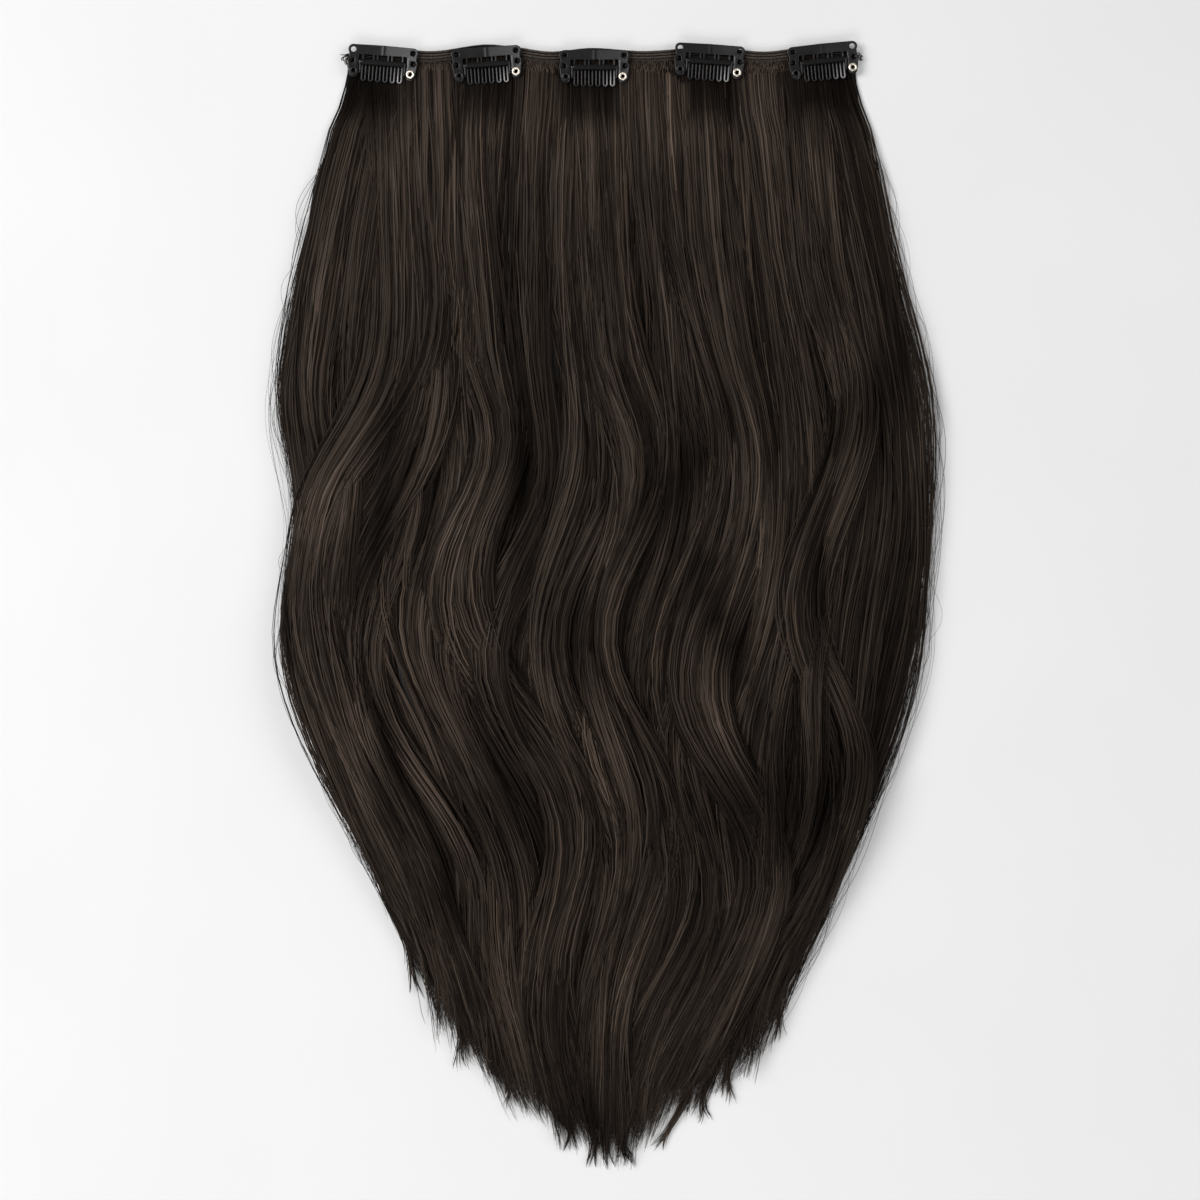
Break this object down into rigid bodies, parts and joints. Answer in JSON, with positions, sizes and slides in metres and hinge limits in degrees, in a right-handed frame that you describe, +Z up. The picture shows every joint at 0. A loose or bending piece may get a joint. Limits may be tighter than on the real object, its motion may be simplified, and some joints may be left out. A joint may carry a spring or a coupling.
{
  "type": "clip in hair extension",
  "caption": "Long wavy dark brown hair sewn to a narrow band with a row of black snap clips, laid flat with the clips up",
  "frame": {"origin": "the middle of the whole extension as it lies, on the surface that it lies on", "axes": "+Y along the fall of the hair towards the sewn band, +Z up out of the clips' face, +X to the right of someone who sees the clips with the band at the top"},
  "size_m": [0.2984, 0.5158, 0.0139],
  "materials": {
    "hair": "fine satin strands, dark brown",
    "band": "matte stitched thread",
    "clip_steel": "gloss black enamel",
    "eyelet": "bright pale plating",
    "sleeve": "matte"
  },
  "bodies": {
    "weft": {"weft_band": "band", "hair": "hair", "clip_1_plate": "clip_steel", "clip_1_eyelet_left": "eyelet", "clip_1_tab_left": "clip_steel", "clip_1_eyelet_right": "eyelet", "clip_1_tab_right": "clip_steel", "clip_2_plate": "clip_steel", "clip_2_eyelet_left": "eyelet", "clip_2_tab_left": "clip_steel", "clip_2_eyelet_right": "eyelet", "clip_2_tab_right": "clip_steel", "clip_3_plate": "clip_steel", "clip_3_eyelet_left": "eyelet", "clip_3_tab_left": "clip_steel", "clip_3_eyelet_right": "eyelet", "clip_3_tab_right": "clip_steel", "clip_4_plate": "clip_steel", "clip_4_eyelet_left": "eyelet", "clip_4_tab_left": "clip_steel", "clip_4_eyelet_right": "eyelet", "clip_4_tab_right": "clip_steel", "clip_5_plate": "clip_steel", "clip_5_eyelet_left": "eyelet", "clip_5_tab_left": "clip_steel", "clip_5_eyelet_right": "eyelet", "clip_5_tab_right": "clip_steel"},
    "clip_1_spring": {"clip_1_bar": "clip_steel", "clip_1_sleeve": "sleeve"},
    "clip_2_spring": {"clip_2_bar": "clip_steel", "clip_2_sleeve": "sleeve"},
    "clip_3_spring": {"clip_3_bar": "clip_steel", "clip_3_sleeve": "sleeve"},
    "clip_4_spring": {"clip_4_bar": "clip_steel", "clip_4_sleeve": "sleeve"},
    "clip_5_spring": {"clip_5_bar": "clip_steel", "clip_5_sleeve": "sleeve"}
  },
  "joints": [
    {"name": "clip_1_snap", "type": "hinge", "parent": "weft", "child": "clip_1_spring", "pos_m": [-0.10081, 0.24349, 0.0028], "axis": [0.9969, -0.0785, 0], "range_deg": [0, 40]},
    {"name": "clip_2_snap", "type": "hinge", "parent": "weft", "child": "clip_2_spring", "pos_m": [-0.05256, 0.24298, 0.0028], "axis": [0.9972, 0.075, 0], "range_deg": [0, 40]},
    {"name": "clip_3_snap", "type": "hinge", "parent": "weft", "child": "clip_3_spring", "pos_m": [-0.00393, 0.24167, 0.0028], "axis": [1, 0, 0], "range_deg": [0, 40]},
    {"name": "clip_4_snap", "type": "hinge", "parent": "weft", "child": "clip_4_spring", "pos_m": [0.04817, 0.24426, 0.0028], "axis": [0.9978, -0.0663, 0], "range_deg": [0, 40]},
    {"name": "clip_5_snap", "type": "hinge", "parent": "weft", "child": "clip_5_spring", "pos_m": [0.10091, 0.24452, 0.0028], "axis": [0.9945, 0.1045, 0], "range_deg": [0, 40]}
  ]
}
